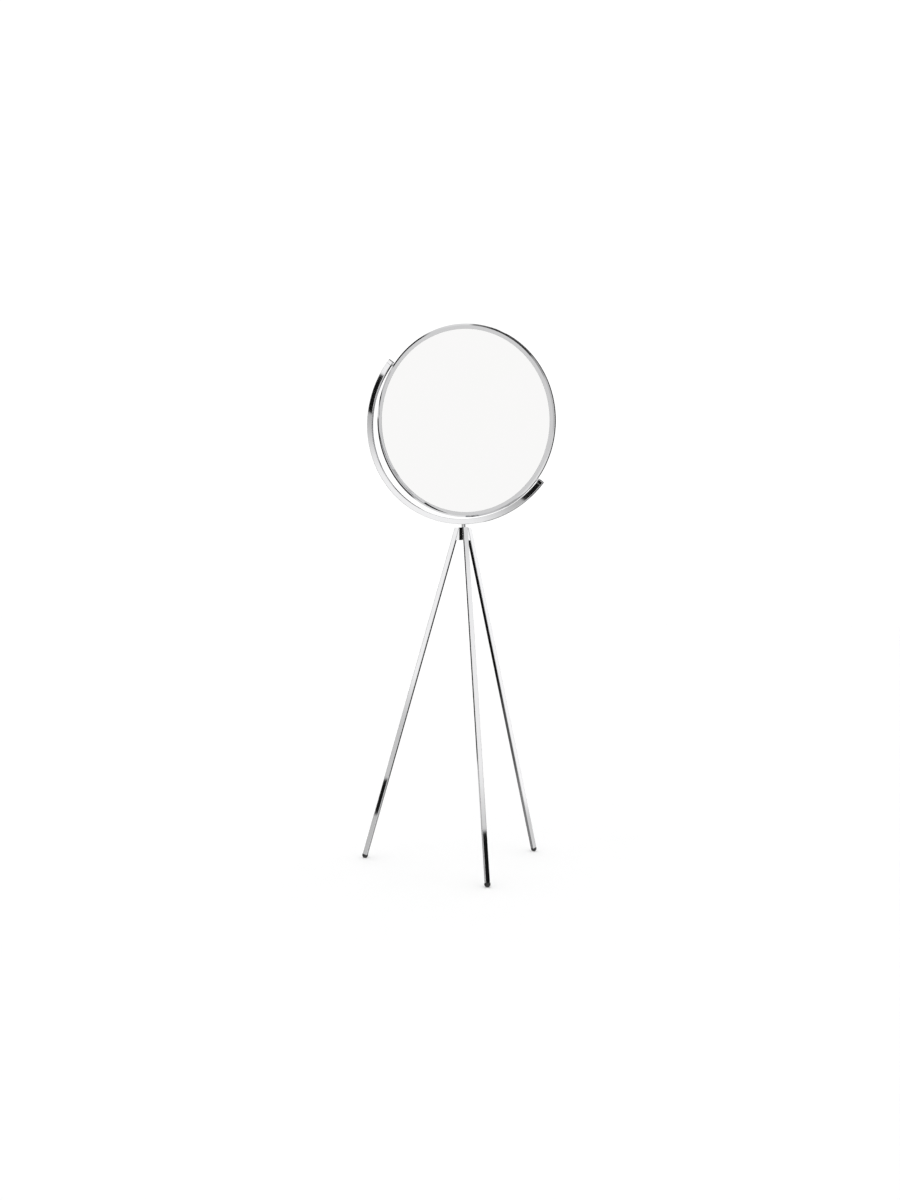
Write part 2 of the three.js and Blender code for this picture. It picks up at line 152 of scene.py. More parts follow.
def pivot_place() -> Place:
    """The pivot frame: origin at the mirror's centre, X along the pivot axis, Y from front to back."""
    tilt = joint("mirror_tilt")
    x_axis = np.array(tilt["axis"], float)
    y_axis = np.array([0.0, 1.0, 0.0])
    return Place(np.array(tilt["pos_m"], float), np.stack([x_axis, y_axis, np.cross(x_axis, y_axis)]))


# ---------------------------------------------------------------------------- surfaces
def filleted(corners: np.ndarray, trim: float, samples: int = 6, support: float = 0.12 * MM) -> np.ndarray:
    """A closed outline with its corners rounded.

    Each corner V becomes the curve (1-s)^2 A + 2s(1-s) V + s^2 B, where A and B lie on the two sides
    at the trim length from V. One more point on each side, a little further out, keeps the flats flat.

    Args:
        corners: (m, 2) corner points in order.
        trim: how far from the corner the rounding starts.
        samples: points on each rounding.
        support: distance of the extra points beyond the rounding.

    Returns:
        (m * (samples + 2), 2) points in order.
    """
    before = np.roll(corners, 1, axis=0) - corners
    after = np.roll(corners, -1, axis=0) - corners
    back = before / np.linalg.norm(before, axis=1, keepdims=True)
    ahead = after / np.linalg.norm(after, axis=1, keepdims=True)
    s = np.linspace(0.0, 1.0, samples)[None, :, None]
    start = (corners + back * trim)[:, None, :]
    stop = (corners + ahead * trim)[:, None, :]
    curve = (1 - s) ** 2 * start + 2 * s * (1 - s) * corners[:, None, :] + s**2 * stop
    first = (corners + back * (trim + support))[:, None, :]
    last = (corners + ahead * (trim + support))[:, None, :]
    return np.concatenate([first, curve, last], axis=1).reshape(-1, 2)


def filleted_open(corners: np.ndarray, trim: float, samples: int = 6) -> np.ndarray:
    """The same for an open outline, whose two end points stay where they are."""
    inner = filleted(corners, trim, samples).reshape(len(corners), -1, 2)[1:-1].reshape(-1, 2)
    return np.concatenate([corners[:1], inner, corners[-1:]])


def revolved(profile: np.ndarray, sides: int) -> np.ndarray:
    """A profile of (radius, station) turned about the third axis.

    The point of profile p at angle a is (radius cos a, radius sin a, station).

    Args:
        profile: (k, 2) points.
        sides: steps round the axis.

    Returns:
        (k, sides, 3) points.
    """
    angle = np.linspace(0.0, 2 * math.pi, sides, endpoint=False)
    radius, station = profile[:, :1], profile[:, 1:]
    return np.stack(
        [radius * np.cos(angle), radius * np.sin(angle), station + 0 * angle],
        axis=-1,
    )


def rectangle(width: float, height: float) -> np.ndarray:
    """Corners of a rectangle centred on the origin, in order."""
    return np.array([[-1, -1], [1, -1], [1, 1], [-1, 1]], float) * [width / 2, height / 2]


def level_loop(outline: np.ndarray, station: float) -> np.ndarray:
    """An outline (k, 2) as a (k, 3) loop at one station of the third axis."""
    return np.column_stack([outline, np.full(len(outline), station)])


def circle_like(outline: np.ndarray, radius: float, station: float) -> np.ndarray:
    """A circle whose points lie at the same angles as an outline's, as a (k, 3) loop."""
    angle = np.arctan2(outline[:, 1], outline[:, 0])
    return np.column_stack([radius * np.cos(angle), radius * np.sin(angle), np.full(len(angle), station)])


def grid_faces(rows: int, columns: int, wrap_rows: bool, wrap_columns: bool) -> np.ndarray:
    """Quads that join each point of a grid to its neighbours in the next row and column.

    Args:
        rows: number of rows.
        columns: number of columns.
        wrap_rows: whether the last row joins the first.
        wrap_columns: whether the last column joins the first.

    Returns:
        (n, 4) vertex numbers, with vertex = row * columns + column.
    """
    r = np.arange(rows if wrap_rows else rows - 1)[:, None]
    c = np.arange(columns if wrap_columns else columns - 1)[None, :]
    r_next, c_next = (r + 1) % rows, (c + 1) % columns
    quads = [r * columns + c, r * columns + c_next, r_next * columns + c_next, r_next * columns + c]
    return np.stack(np.broadcast_arrays(*quads), axis=-1).reshape(-1, 4)


@dataclass
class Piece:
    """A named piece: its grid of points, the body that it rides on and the nodes that it stands for."""

    name: str
    points: np.ndarray
    body: Body
    slot: str
    stands_for: tuple[str, ...] = ()
    wrap_rows: bool = False
    wrap_columns: bool = True
    sharp_degrees: float = 35.0

    def make(self, *finishes: "Finish") -> bpy.types.Object:
        """Builds the mesh, closes poles and seams, gives it its finishes and puts it on its body.

        Args:
            finishes: the piece's materials, the first for every face.

        Returns:
            The finished object.
        """
        rows, columns = self.points.shape[:2]
        mesh = bpy.data.meshes.new(self.name)
        faces = grid_faces(rows, columns, self.wrap_rows, self.wrap_columns)
        mesh.from_pydata(self.points.reshape(-1, 3), [], faces.tolist())
        shell = bmesh.new()
        shell.from_mesh(mesh)
        bmesh.ops.remove_doubles(shell, verts=shell.verts, dist=1e-7)
        bmesh.ops.recalc_face_normals(shell, faces=shell.faces)
        shell.to_mesh(mesh)
        shell.free()
        mesh.shade_smooth()
        mesh.set_sharp_from_angle(angle=math.radians(self.sharp_degrees))
        for finish in finishes:
            mesh.materials.append(finish.material())
        piece = bpy.data.objects.new(self.name, mesh)
        bpy.context.scene.collection.objects.link(piece)
        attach(piece, self.body.value)
        if self.stands_for:
            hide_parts(*self.stands_for)
        log.info("%s: %d faces on %s", self.name, len(mesh.polygons), self.body.value)
        return piece


# ---------------------------------------------------------------------------- finishes
def linear(hex_colour: str) -> tuple[float, float, float, float]:
    """An sRGB colour such as 'C9CCCF' as linear red, green, blue and alpha."""
    srgb = np.array([int(hex_colour[i : i + 2], 16) for i in (0, 2, 4)]) / 255
    low, high = srgb / 12.92, ((srgb + 0.055) / 1.055) ** 2.4
    return (*(float(v) for v in np.where(srgb <= 0.04045, low, high)), 1.0)


def add_node(tree: bpy.types.NodeTree, kind: str, inputs: dict | None = None, **settings) -> bpy.types.Node:
    """Adds a node with its settings, input values and links.

    Args:
        tree: the node tree.
        kind: the node's type name.
        inputs: values or output sockets by input name or number.
        settings: the node's own properties.

    Returns:
        The new node.
    """
    node = tree.nodes.new(kind)
    for key, value in settings.items():
        setattr(node, key, value)
    for key, value in (inputs or {}).items():
        if isinstance(value, bpy.types.NodeSocket):
            tree.links.new(value, node.inputs[key])
        else:
            node.inputs[key].default_value = value
    return node


@dataclass(frozen=True)
class Finish:
    """A surface finish: a base colour, how metallic it is, and the range of its roughness.

    The roughness wanders between its two ends over patches of a stated size, as on any surface that
    was worked and handled, and a fine relief of a stated size and height breaks up the gloss.
    """

    name: str = "plain"
    colour: str = "808080"
    second_colour: str = "808080"
    metallic: float = 0.0
    roughness: tuple[float, float] = (0.4, 0.5)
    patch_mm: float = 30.0
    grain_mm: float = 1.0
    grain_height_mm: float = 0.01
    grain_strength: float = 0.2
    stretch: tuple[float, float, float] = (1.0, 1.0, 1.0)

    def material(self) -> bpy.types.Material:
        """The finish as a Blender material, made once."""
        made = bpy.data.materials.get(self.name)
        if made:
            return made
        made = bpy.data.materials.new(self.name)
        made.use_nodes = True
        tree = made.node_tree
        tree.nodes.clear()
        shader = add_node(tree, "ShaderNodeBsdfPrincipled", {"Metallic": self.metallic})
        add_node(tree, "ShaderNodeOutputMaterial", {"Surface": shader.outputs["BSDF"]})
        where = add_node(tree, "ShaderNodeTexCoord").outputs["Object"]
        mapping = add_node(tree, "ShaderNodeMapping", {"Vector": where, "Scale": self.stretch})
        self.dress(tree, shader, mapping.outputs["Vector"])
        return made

    def dress(self, tree: bpy.types.NodeTree, shader: bpy.types.Node, place: bpy.types.NodeSocket) -> None:
        """Drives the shader's colour, roughness and relief from patterns on the piece.

        Args:
            tree: the material's node tree.
            shader: its Principled shader.
            place: where on the piece a point is, in metres.
        """
        patches = self.noise(tree, place, self.patch_mm, 3.0)
        rough = {"Value": patches, "To Min": self.roughness[0], "To Max": self.roughness[1]}
        spread = add_node(tree, "ShaderNodeMapRange", rough)
        tree.links.new(spread.outputs["Result"], shader.inputs["Roughness"])
        blend = {0: patches, 6: linear(self.colour), 7: linear(self.second_colour)}
        colour = add_node(tree, "ShaderNodeMix", blend, data_type="RGBA")
        tree.links.new(colour.outputs[2], shader.inputs["Base Color"])
        grain = self.noise(tree, place, self.grain_mm, 2.0)
        height = self.grain_height_mm * MM
        relief = {"Height": grain, "Strength": self.grain_strength, "Distance": height}
        bump = add_node(tree, "ShaderNodeBump", relief)
        tree.links.new(bump.outputs["Normal"], shader.inputs["Normal"])

    @staticmethod
    def noise(tree: bpy.types.NodeTree, place: bpy.types.NodeSocket, size_mm: float, detail: float):
        """A noise value from 0 to 1 whose blotches have the given size."""
        settings = {"Vector": place, "Scale": 1.0 / (size_mm * MM), "Detail": detail}
        return add_node(tree, "ShaderNodeTexNoise", settings).outputs["Fac"]


# Polished chrome plate: a bright, neutral grey metal that mirrors the room with hard edges. The
# polishing leaves long, very shallow waves, and handling leaves patches that are a little less clear.
POLISHED_CHROME = Finish(
    "polished_chrome_plate", "CACACB", "CDCDCE", 1.0, (0.01, 0.03), 45.0, 60.0, 0.02, 0.05
)
# Silvered float glass: the silver shows through clear glass, with the faintest wipe marks.
SILVERED_GLASS = Finish(
    "silvered_float_glass", "F8F8F7", "F9F8F8", 1.0, (0.0, 0.012), 120.0, 300.0, 0.01, 0.02
)
# The ground edge of float glass: matt, and green from the iron in it.
GROUND_GLASS = Finish(
    "ground_float_glass_edge", "B9D3C8", "C6DDD3", 0.0, (0.35, 0.5), 8.0, 0.6, 0.02, 0.3
)
# The mirror's backing paint: matt grey, sprayed.
BACKING_PAINT = Finish(
    "sprayed_mirror_backing", "6F7478", "767B7F", 0.0, (0.6, 0.75), 20.0, 0.8, 0.03, 0.3
)
# Moulded black rubber: near-black, half matt, with a fine moulded grain.
MOULDED_RUBBER = Finish(
    "moulded_black_rubber", "111111", "1A1A1A", 0.0, (0.38, 0.55), 6.0, 0.7, 0.05, 0.35
)
# Zinc-plated steel: a cool grey metal with a mottled, half-bright surface.
ZINC_STEEL = Finish(
    "zinc_plated_steel", "AEB4BA", "C2C6CA", 1.0, (0.28, 0.42), 3.0, 0.9, 0.02, 0.25
)
# Sintered bronze: a dull brown-gold metal pitted with fine pores.
SINTERED_BRONZE = Finish(
    "sintered_bronze", "A57E48", "8E6A3A", 1.0, (0.45, 0.6), 2.0, 0.4, 0.04, 0.5
)
# Moulded acetal: an off-white, waxy plastic.
MOULDED_ACETAL = Finish(
    "moulded_acetal", "E8E5DC", "E2DFD5", 0.0, (0.35, 0.48), 9.0, 1.2, 0.02, 0.2
)
# Closed-cell foam rubber: black and matt, with small cells.
FOAM_RUBBER = Finish(
    "closed_cell_foam_rubber", "1C1D1E", "2B2C2D", 0.0, (0.8, 0.95), 3.0, 0.9, 0.15, 0.7
)
# Fibreboard: pressed brown fibres, matt.
FIBREBOARD = Finish(
    "pressed_fibreboard", "8C6B47", "6E5236", 0.0, (0.8, 0.92), 4.0, 1.5, 0.08, 0.5
)
# Satin anodised aluminium: a pale metal sheet with a fine level grain along the sheet.
ANODISED_SHEET = Finish(
    "satin_anodised_aluminium", "C3C6C9", "BCC0C3", 1.0, (0.26, 0.36), 60.0, 1.0, 0.01, 0.3,
    (0.02, 1.0, 1.0),
)

# Matt white floor paint: rolled on, with a faint texture.
FLOOR_PAINT = Finish(
    "matt_white_floor_paint", "F8F8F8", "FAFAFA", 0.0, (0.8, 0.9), 200.0, 2.0, 0.02, 0.1
)


# ---------------------------------------------------------------------------- tripod
@dataclass
class Tripod:
    """The hub, three square legs and their rubber feet, with the parts that fix and guide them."""

    hub_top: float = HUB_TOP
    hub_height: float = 46 * MM
    leg_size: float = TUBE
    leg_wall: float = TUBE_WALL
    leg_corner: float = 1.55 * MM
    foot_circle: float = 378 * MM
    foot_radius: float = 10.65 * MM
    foot_height: float = 14 * MM
    dome_centre: float = 10 * MM
    seat_step: float = 0.4 * MM
    bore_radius: float = 7.4 * MM
    pocket_radius: float = 10 * MM
    pocket_depth: float = 15 * MM
    recess_radius: float = 7.8 * MM
    recess_depth: float = 1.8 * MM
    tilt: float = field(init=False)

    def __post_init__(self) -> None:
        """Works out the legs' tilt from the seats at the hub's top to the foot circle."""
        self.apothem = self.leg_size * math.sqrt(3) / 2
        self.seat_top = self.apothem + self.seat_step
        self.tilt = 0.28
        for _ in range(20):
            top = self.seat_top + GAP + self.leg_size / 2 / math.cos(self.tilt)
            self.tilt = math.atan((self.foot_circle - top) / self.hub_top)

    def leg_place(self, leg: Leg) -> Place:
        """The frame of a leg: origin at the floor, X square to the leg and outward, Z up along it."""
        outward = STEM.turned(2, math.radians(leg.value))
        foot = outward.carry(np.array([self.foot_circle, 0.0, 0.0]))
        return Place(foot, outward.axes).turned(1, -self.tilt)

    def build(self) -> None:
        """Builds and dresses the whole tripod."""
        self.build_hub()
        for leg in Leg:
            self.build_leg(leg)
            self.build_foot(leg)
        self.build_plug()
        hidden = ("insert", "dowel_upper", "dowel_lower")
        dress_nodes(ZINC_STEEL, *(f"leg_{leg.label}_{part}" for leg in Leg for part in hidden))
        dress_nodes(SINTERED_BRONZE, "stem_bush_upper", "stem_bush_lower")
        dress_nodes(MOULDED_ACETAL, "thrust_washer")

    def hub_outline(self, height: float, inset: float) -> np.ndarray:
        """The hub's level outline: a hexagon with a leg seat on every other side.

        In a seat's own direction the outline runs out along one side of the seat, across its face and
        back along the other side. The seat's face is at the seat's top radius plus the drop below the
        hub's top times the tangent of the tilt, and every side moves in by the inset.

        Args:
            height: level above the floor.
            inset: how far the outline is drawn in.

        Returns:
            (k, 2) points in order.
        """
        half = self.leg_size / 2 - inset
        root = 2 * (self.apothem - inset) - math.sqrt(3) * half
        face = self.seat_top + (self.hub_top - height) * math.tan(self.tilt) - inset
        seat = np.array([[root, -half], [face, -half], [face, half], [root, half]])
        angles = np.radians([Leg.FRONT.value, Leg.REAR.value, Leg.SIDE.value])
        cos, sin = np.cos(angles), np.sin(angles)
        turns = np.stack([np.stack([cos, sin], axis=-1), np.stack([-sin, cos], axis=-1)], axis=1)
        corners = np.einsum("kc,mcd->mkd", seat, turns).reshape(-1, 2)
        return filleted(corners, 0.35 * MM, 4, 0.08 * MM)

    def build_hub(self) -> None:
        """The hub: its outline lofted from bottom to top, over the top to the bore and back down."""
        bottom, top, soft = self.hub_top - self.hub_height, self.hub_top, 0.5 * MM
        quarter = np.radians(np.linspace(0, 90, 5))
        low = zip(bottom + soft - soft * np.cos(quarter), soft - soft * np.sin(quarter))
        high = zip(top - soft + soft * np.sin(quarter), soft - soft * np.cos(quarter))
        levels = [*low, (bottom + 2 * soft, 0.0), (top - 2 * soft, 0.0), *high]
        loops = [level_loop(self.hub_outline(z, inset), z) for z, inset in levels]
        guide = self.hub_outline(top, soft)
        pocket_top = bottom + self.pocket_depth
        bore = [
            (self.recess_radius, top),
            (self.recess_radius, top - self.recess_depth),
            (self.bore_radius, top - self.recess_depth),
            (self.bore_radius, pocket_top),
            (self.pocket_radius, pocket_top),
            (self.pocket_radius, bottom),
        ]
        loops += [circle_like(guide, radius, z) for radius, z in bore]
        points = STEM.carry(np.stack(loops))
        Piece("hub", points, Body.TRIPOD, "chrome", ("hub_block",), wrap_rows=True).make(POLISHED_CHROME)

    def build_leg(self, leg: Leg) -> None:
        """A square tube from above the foot to the hub's top, where it is cut level.

        A point of the section (a, b) runs along the leg from the tube's lower end to the station where
        its height is the hub's top: (top - a sin tilt) / cos tilt. The inside is carried back down, so
        that the wall is closed at both ends.
        """
        size, wall = self.leg_size, self.leg_wall
        outer = filleted(rectangle(size, size), self.leg_corner)
        inner = filleted(rectangle(size - 2 * wall, size - 2 * wall), 0.3 * MM)
        soft = 0.3 * MM
        rows = []
        for section, ends in ((outer, (0.0, 1.0)), (inner, (1.0, 0.0))):
            top = (self.hub_top - section[:, 0] * math.sin(self.tilt)) / math.cos(self.tilt)
            low = np.full(len(section), self.foot_height)
            for share in ends:
                station = low + (top - low) * share
                rows.append(np.column_stack([section, station]))
        lip = np.column_stack([outer * (1 - 2 * soft / size), np.full(len(outer), self.foot_height)])
        rows[0][:, 2] += soft
        points = self.leg_place(leg).carry(np.stack([lip, *rows]))
        name, stands_for = f"leg_{leg.label}_tube", (f"leg_{leg.label}",)
        tube = Piece(name, points, Body.TRIPOD, "chrome", stands_for, wrap_rows=True)
        tube.make(POLISHED_CHROME)

    def build_foot(self, leg: Leg) -> None:
        """A rubber foot: a dome turned about the leg, pressed flat where it meets the floor.

        Points of the dome below the floor are lifted onto it.
        """
        radius, plug = self.foot_radius, self.leg_size / 2 - self.leg_wall - GAP
        arc = np.radians(np.linspace(0, 90, 14))
        dome = np.column_stack([radius * np.sin(arc), self.dome_centre - radius * np.cos(arc)])
        seat = self.foot_height - GAP
        upper = np.array(
            [
                [radius, seat - 1.4 * MM],
                [radius - 0.15 * MM, seat - 1.2 * MM],
                [radius - 0.15 * MM, seat - 0.9 * MM],
                [radius, seat - 0.7 * MM],
                [radius - 0.1 * MM, seat - 0.2 * MM],
                [radius - 0.5 * MM, seat],
                [plug, seat],
                [plug, seat + 17 * MM],
                [plug - 1 * MM, seat + 18 * MM],
                [0.0, seat + 18 * MM],
            ]
        )
        points = self.leg_place(leg).carry(revolved(np.concatenate([dome, upper]), 64))
        points[..., 2] = np.maximum(points[..., 2], 0.0)
        name = f"foot_{leg.label}_tip"
        Piece(name, points, Body.TRIPOD, "rubber", (f"foot_{leg.label}",)).make(MOULDED_RUBBER)

    def build_plug(self) -> None:
        """The disc that closes the hub from below, with a shallow ring moulded in its face."""
        bottom, radius = self.hub_top - self.hub_height, self.pocket_radius - GAP
        corners = np.array(
            [
                [0.0, bottom + 0.5 * MM],
                [0.45 * radius, bottom + 0.5 * MM],
                [0.55 * radius, bottom],
                [radius, bottom],
                [radius, bottom + 2 * MM],
                [0.0, bottom + 2 * MM],
            ]
        )
        points = STEM.carry(revolved(filleted_open(corners, 0.25 * MM), 64))
        Piece("hub_bottom_plug", points, Body.TRIPOD, "acetal", ("hub_plug",)).make(MOULDED_ACETAL)


# ---------------------------------------------------------------------------- yoke
@dataclass
class Yoke:
    """The half ring of square tube, its stem in the hub and its two pivot ends."""

    inside: float = YOKE_INSIDE
    outside: float = YOKE_OUTSIDE
    width: float = TUBE
    wall: float = TUBE_WALL
    corner: float = 1.4 * MM
    end_block: float = 16 * MM
    end_chamfer: float = 3 * MM
    neck_radius: float = 7 * MM
    shaft_radius: float = 5 * MM
    thread_radius: float = 4 * MM
    hub_top: float = HUB_TOP
    pocket_top: float = 1189 * MM
    spring_depth: float = 2.5 * MM
    nut_depth: float = 8 * MM
    pin_bore: float = 5.8 * MM
    cap_bore: float = 6.3 * MM
    cap_depth: float = CAP_DEPTH
    cap_thick: float = 2.5 * MM

    def __post_init__(self) -> None:
        """Keeps the pivot frame and the ring's middle radius and depth of section."""
        self.pivot = pivot_place()
        self.middle = (self.inside + self.outside) / 2
        self.depth = self.outside - self.inside

    def build(self) -> None:
        """Builds and dresses the whole yoke."""
        self.build_ring()
        self.build_stem()
        for end in End:
            self.build_end_block(end)
            self.build_cap(end)
            dress_nodes(MOULDED_ACETAL, f"pivot_bush_{end.label}")
        dress_nodes(ZINC_STEEL, "spring_washer", "stem_nut")

    def end_place(self, end: End) -> Place:
        """The frame of a yoke end: X outward along the pivot axis, Z away from the ring."""
        return self.pivot if end is End.LOWER else self.pivot.turned(2, math.pi)

    def build_ring(self) -> None:
        """The half ring: a rounded square section carried round a half circle below the pivot axis.

        At angle a from the pivot axis, the section's point (width w, depth d) is at radius middle + d
        in the ring's plane and at w in front of or behind it. The inside is carried back again, so that
        the wall is closed at both ends.
        """
        trim = (self.end_block / 2 + GAP) / self.middle
        angle = np.linspace(math.pi + trim, 2 * math.pi - trim, 241)
        outer = filleted(rectangle(self.width, self.depth), self.corner)
        inner = filleted(rectangle(self.width - 2 * self.wall, self.depth - 2 * self.wall), 0.3 * MM)
        rows = []
        for section, sweep in ((outer, angle), (inner, angle[::-1])):
            radius = self.middle + section[None, :, 1]
            across, up = radius * np.cos(sweep)[:, None], radius * np.sin(sweep)[:, None]
            rows.append(np.stack(np.broadcast_arrays(across, section[None, :, 0], up), axis=-1))
        points = self.pivot.carry(np.concatenate(rows))
        Piece("yoke_ring", points, Body.YOKE, "chrome", ("yoke_arc",), wrap_rows=True).make(POLISHED_CHROME)

    def build_stem(self) -> None:
        """The stem: turned in one piece, from the nut's thread up to the spigot in the yoke."""
        yoke_bottom = self.pivot.origin[2] - self.outside
        thread_end = self.pocket_top - GAP - self.spring_depth - self.nut_depth
        corners = np.array(
            [
                [0.0, thread_end],
                [self.thread_radius, thread_end],
                [self.thread_radius, self.pocket_top],
                [self.shaft_radius, self.pocket_top],
                [self.shaft_radius, self.hub_top + GAP],
                [self.neck_radius, self.hub_top + GAP],
                [self.neck_radius, yoke_bottom - GAP],
                [self.thread_radius, yoke_bottom - GAP],
                [self.thread_radius, yoke_bottom + self.wall + 2 * MM],
                [0.0, yoke_bottom + self.wall + 2 * MM],
            ]
        )
        points = STEM.carry(revolved(filleted_open(corners, 0.3 * MM), 96))
        Piece("yoke_stem", points, Body.YOKE, "chrome", ("stem",)).make(POLISHED_CHROME)

    def build_end_block(self, end: End) -> None:
        """An end block: a rounded square block with a stepped bore on the pivot axis.

        The block's outline is lofted outward along the axis with its edges drawn in on a quarter
        circle, then over the outer face into the cap's counterbore and back through the bore.
        """
        soft = 0.6 * MM
        quarter = np.radians(np.linspace(0, 90, 5))
        low = zip(self.inside + soft - soft * np.cos(quarter), soft - soft * np.sin(quarter))
        high = zip(self.outside - soft + soft * np.sin(quarter), soft - soft * np.cos(quarter))
        levels = [*low, (self.inside + 2 * soft, 0.0), (self.outside - 2 * soft, 0.0), *high]

        def outline(inset: float) -> np.ndarray:
            """The block's section, chamfered towards the ring's end and drawn in by the inset."""
            wide, tall = self.width / 2 - inset, self.end_block / 2 - inset
            chamfer = self.end_chamfer - (2 - math.sqrt(2)) * inset
            right = [[wide, -tall], [wide, tall - chamfer], [wide - chamfer, tall]]
            left = [[-x, y] for x, y in reversed(right)]
            return filleted(np.array(right + left), 0.75 * MM - inset / 2)

        loops = [level_loop(outline(inset), station) for station, inset in levels]
        guide = outline(soft)
        step = self.outside - self.cap_depth
        bore = [
            (self.cap_bore, self.outside),
            (self.cap_bore, step),
            (self.pin_bore, step),
            (self.pin_bore, self.inside),
        ]
        loops += [circle_like(guide, radius, station) for radius, station in bore]
        points = self.end_place(end).along(0).carry(np.stack(loops))
        name = f"yoke_end_{end.label}"
        stands_for = (f"end_block_{end.label}",)
        Piece(name, points, Body.YOKE, "chrome", stands_for, wrap_rows=True).make(POLISHED_CHROME)

    def build_cap(self, end: End) -> None:
        """The domed cap that closes an end block's counterbore."""
        radius, outer = self.cap_bore - GAP, self.outside - 0.2 * MM
        arc = np.linspace(0.0, 1.0, 10)
        face = np.column_stack([radius * arc, outer - 0.5 * MM * arc**4])
        inner = self.outside - self.cap_thick
        back = np.array([[radius, inner], [0.0, inner]])
        points = self.end_place(end).along(0).carry(revolved(np.concatenate([face, back]), 48))
        name = f"yoke_cap_{end.label}"
        Piece(name, points, Body.YOKE, "chrome", (f"end_cap_{end.label}",)).make(POLISHED_CHROME)


